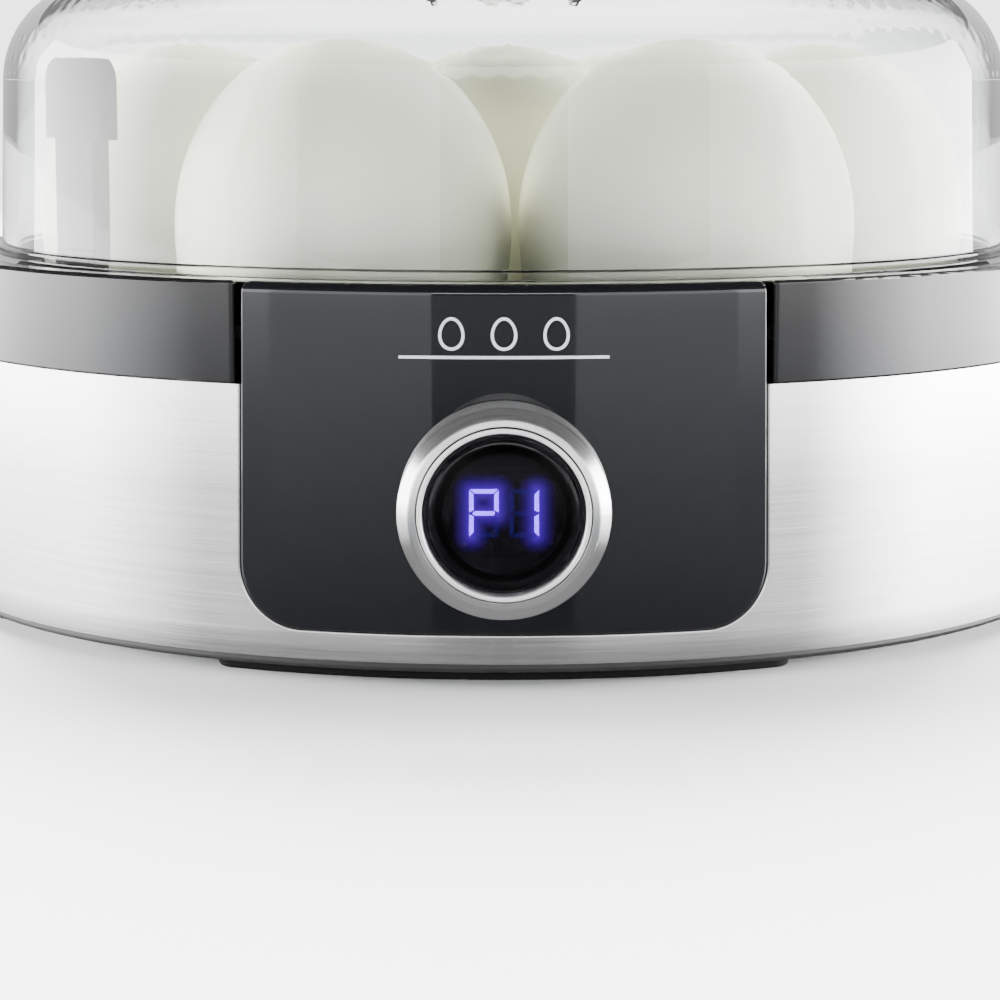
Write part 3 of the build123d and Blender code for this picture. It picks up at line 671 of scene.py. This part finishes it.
CENTRE_STOPS = (
    (-300, 0.35, 0.03), (-150, 0.22, 0.03), (-102, 0.22, 0.03), (-32, 0.50, 0.03), (-1, 0.66, 0.02),
    (35, 0.70, 0.0), (60, 0.12, 0.0), (170, 0.12, 0.0), (220, 9.0, 0.0), (300, 9.0, 0.0),
)
BACK_STOPS = ((-300, 0.3, 0.0), (0, 0.8, 0.0), (300, 2.0, 0.0))


def between(first, second, share):
    """Stops part of the way from one set to another with the same heights."""
    return tuple((at, a + (b - a) * share, blue) for (at, a, blue), (_, b, _) in zip(first, second))


def build_cards():
    """Sheets of light round the object that stand in for the studio in its reflections."""
    for side, sign, edge_stops in (("left", -1, LEFT_STOPS), ("right", 1, RIGHT_STOPS)):
        curved_card(f"{side}_inner_card", CARD_R, sign * INNER_START, sign * OUTER_START, INNER_STOPS)
        curved_card(f"{side}_outer_card", CARD_R, sign * OUTER_START, sign * BLEND_START, OUTER_STOPS)
        for i in range(BLENDS):
            start = BLEND_START + BLEND_STEP * i
            curved_card(f"{side}_blend_card_{i}", CARD_R, sign * start, sign * (start + BLEND_STEP),
                        between(OUTER_STOPS, edge_stops, (i + 1) / (BLENDS + 1)), steps=2)
        curved_card(f"{side}_edge_card", CARD_R, sign * EDGE_START, sign * BACK_START, edge_stops)
        curved_card(f"{side}_back_card", CARD_R + 0.1, sign * BACK_START, sign * 180, BACK_STOPS)
    curved_card("centre_card", CARD_R + 0.05, -CENTRE_HALF, CENTRE_HALF, CENTRE_STOPS)


def area_light(name, place, target, size, power):
    light = bpy.data.lights.new(name, "AREA")
    light.shape = "RECTANGLE"
    light.size, light.size_y = size
    light.energy = power
    lamp = bpy.data.objects.new(name, light)
    lamp.location = place
    lamp.rotation_euler = (Vector(target) - Vector(place)).to_track_quat("-Z", "Y").to_euler()
    bpy.context.collection.objects.link(lamp)
    return lamp


# name, place, target, (width, height), watts
MIDDLE_LAMPS = (
    ("top", (0, 0.55, 1.0), (0, 0.1, 0.0), (1.3, 0.5), 42.0),
    ("back", (0, 1.0, 0.75), (0, 0.0, 0.0), (1.3, 0.5), 220.0),
)
SIDE_LAMPS = (
    ("low", (0.69, 0.20, 0.08), (0, 0, 0.06), (0.4, 0.06), 50.0),
    ("front", (0.62, -0.30, 0.08), (0, 0, 0.06), (0.3, 0.06), 6.0),
)


def build_lights():
    """Soft lamps that light the object but don't show in it."""
    lamps = [area_light(*facts) for facts in MIDDLE_LAMPS]
    for side, sign in (("left", -1), ("right", 1)):
        for name, (x, y, z), target, size, power in SIDE_LAMPS:
            lamps.append(area_light(f"{name}_{side}", (sign * x, y, z), target, size, power))
    for lamp in lamps:
        lamp.visible_glossy = False
        lamp.visible_transmission = False


SEEN = (3.3, 3.35, 3.4, 1.0)
REFLECTED = ((0.0, 0.34), (0.75, 0.12))      # (upward part of the direction, level)


def build_world():
    """Pale all round when looked at or through; dimmer, and darkest overhead, in reflections."""
    world = bpy.data.worlds.new("world")
    bpy.context.scene.world = world
    world.use_nodes = True
    tree = world.node_tree
    lit = tree.nodes["Background"]
    seen = tree.nodes.new("ShaderNodeBackground")
    seen.inputs["Color"].default_value = SEEN
    place = tree.nodes.new("ShaderNodeTexCoord")
    split = tree.nodes.new("ShaderNodeSeparateXYZ")
    ramp = tree.nodes.new("ShaderNodeValToRGB")
    path = tree.nodes.new("ShaderNodeLightPath")
    eye = tree.nodes.new("ShaderNodeMath")
    blend = tree.nodes.new("ShaderNodeMixShader")
    tree.links.new(place.outputs["Generated"], split.inputs[0])
    tree.links.new(split.outputs["Z"], ramp.inputs["Fac"])
    for element, (at, level) in zip(ramp.color_ramp.elements, REFLECTED):
        element.position = at
        element.color = (level, level, level, 1.0)
    straight = tree.nodes.new("ShaderNodeMath")
    bounced = tree.nodes.new("ShaderNodeMath")
    eye.operation = "MAXIMUM"
    bounced.operation = "LESS_THAN"
    bounced.inputs[1].default_value = 0.5
    straight.operation = "MULTIPLY"
    tree.links.new(path.outputs["Glossy Depth"], bounced.inputs[0])
    tree.links.new(eye.outputs[0], straight.inputs[0])
    tree.links.new(bounced.outputs[0], straight.inputs[1])
    tree.links.new(path.outputs["Is Camera Ray"], eye.inputs[0])
    tree.links.new(path.outputs["Is Transmission Ray"], eye.inputs[1])
    tree.links.new(ramp.outputs["Color"], lit.inputs["Color"])
    tree.links.new(straight.outputs[0], blend.inputs[0])
    tree.links.new(lit.outputs[0], blend.inputs[1])
    tree.links.new(seen.outputs[0], blend.inputs[2])
    tree.links.new(blend.outputs[0], tree.nodes["World Output"].inputs["Surface"])


# ---- camera ----

CAMERA_LENS = 110.9
CAMERA_ASIDE, CAMERA_BACK, CAMERA_H = -0.5 * MM, 468.5 * MM, 78.8 * MM
CAMERA_DOWN = 8.12


def build_camera():
    """Low front view at close range, level left to right."""
    camera = bpy.data.cameras.new("camera")
    camera.sensor_width = 36.0
    camera.lens = CAMERA_LENS
    camera.clip_start = 0.01
    camera.clip_end = 20.0
    holder = bpy.data.objects.new("camera", camera)
    holder.location = (CAMERA_ASIDE, AXIS.y - CAMERA_BACK, CAMERA_H)
    holder.rotation_euler = (math.radians(90 - CAMERA_DOWN), 0, 0)
    bpy.context.collection.objects.link(holder)
    bpy.context.scene.camera = holder


build_camera()
dress()
build_print()
build_floor()
build_cards()
build_lights()
build_world()
